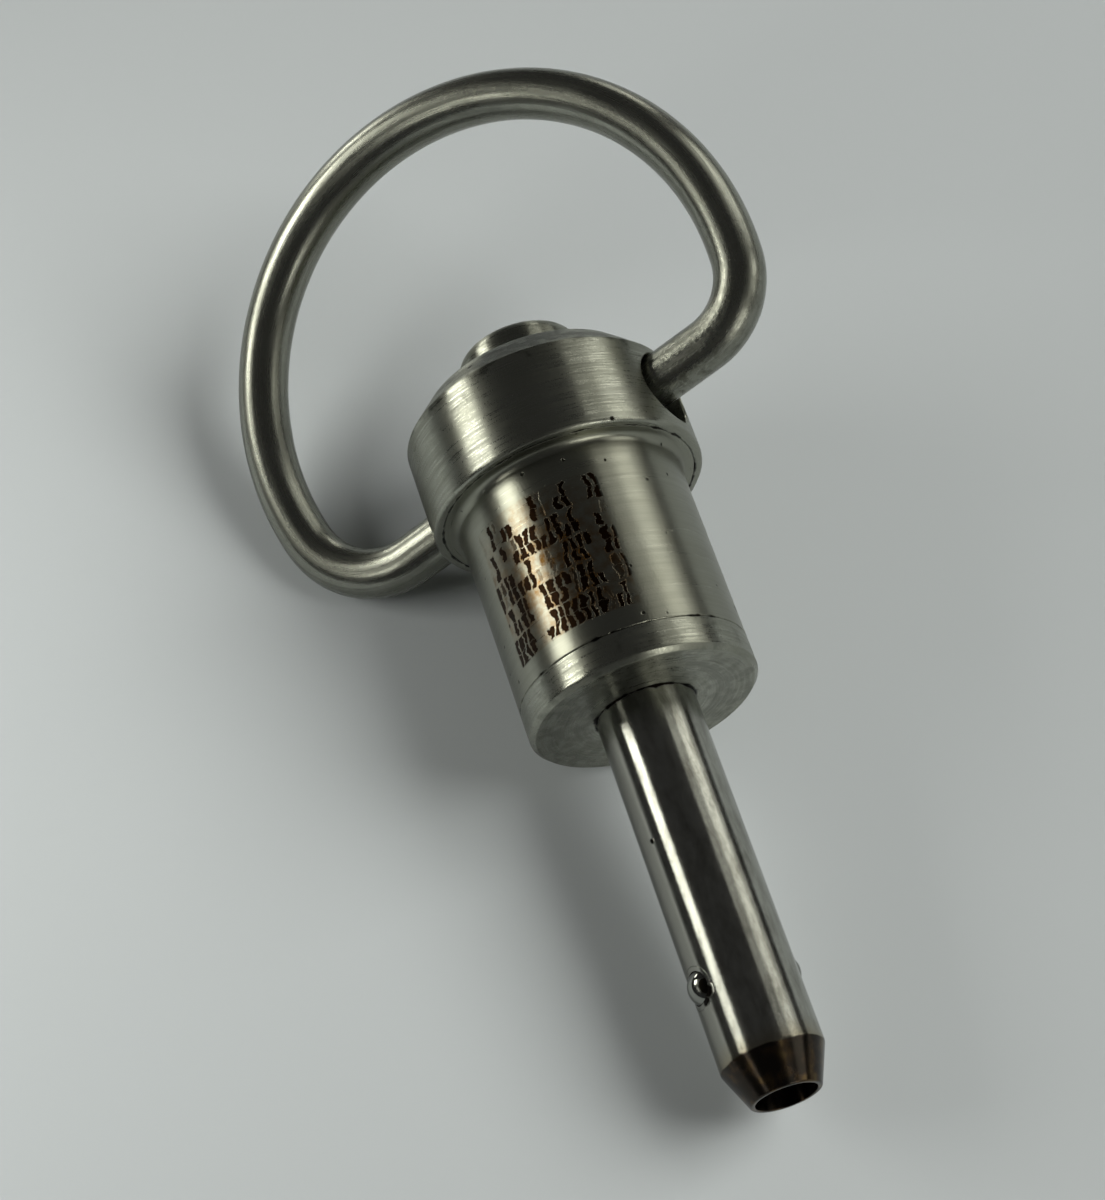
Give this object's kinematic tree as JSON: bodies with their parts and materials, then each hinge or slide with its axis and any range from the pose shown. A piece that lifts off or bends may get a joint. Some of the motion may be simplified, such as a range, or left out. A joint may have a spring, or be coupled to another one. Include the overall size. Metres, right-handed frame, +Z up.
{
  "type": "quick release pin",
  "caption": "Ball-lock quick release pin with a push button, a turned handle and a wire pull ring, lying at rest.",
  "frame": {"origin": "centre of the shoulder face, on the pin axis, where the shank leaves the handle", "axes": "+Z up from the table that the pin lies on; +X along the table in the direction that the shank points; +Y completes a right-handed set. The pin axis dips 5.8 degrees below +X, because the pin rests on the rim of its collar and on the edge of its shoulder."},
  "size_m": [0.0705, 0.0349, 0.0218],
  "materials": {
    "shank_steel": "fine turned, heat-tinted dark brown at the nose",
    "cap_steel": "bright turned",
    "sleeve_steel": "satin blasted",
    "collar_steel": "fine turned",
    "ring_wire": "drawn wire, lightly scratched",
    "button_steel": "fine turned",
    "spindle_steel": "ground",
    "spring_wire": "drawn wire",
    "washer_steel": "stamped",
    "ball_steel": "polished"
  },
  "bodies": {
    "handle": {"shank": "shank_steel", "base_cap": "cap_steel", "sleeve": "sleeve_steel", "collar": "collar_steel", "spring": "spring_wire", "spring_washer": "washer_steel"},
    "plunger": {"button": "button_steel", "spindle": "spindle_steel"},
    "ball_1": {"ball_1": "ball_steel"},
    "ball_2": {"ball_2": "ball_steel"},
    "ring": {"pull_ring": "ring_wire"}
  },
  "joints": [
    {"name": "button_press", "type": "slide", "parent": "handle", "child": "plunger", "axis": [0.9949, 0, -0.1007], "range_m": [0, 0.0025], "stiffness_N_per_m": 600, "springref_m": -0.006, "deforming": ["spring"]},
    {"name": "ball_1_drop", "type": "slide", "parent": "handle", "child": "ball_1", "axis": [0.0408, -0.9141, 0.4034], "range_m": [0, 0.00049]},
    {"name": "ball_2_drop", "type": "slide", "parent": "handle", "child": "ball_2", "axis": [-0.0408, 0.9141, -0.4034], "range_m": [0, 0.00049]},
    {"name": "ring_swing", "type": "hinge", "parent": "handle", "child": "ring", "pos_m": [-0.01872, -0.00027, 0.00176], "axis": [-0.0341, 0.8769, 0.4795], "range_deg": [-175, 153]}
  ],
  "couplings": [
    {"joint": "ball_1_drop", "follows": "button_press", "ratio": 0.192},
    {"joint": "ball_2_drop", "follows": "button_press", "ratio": 0.192}
  ]
}
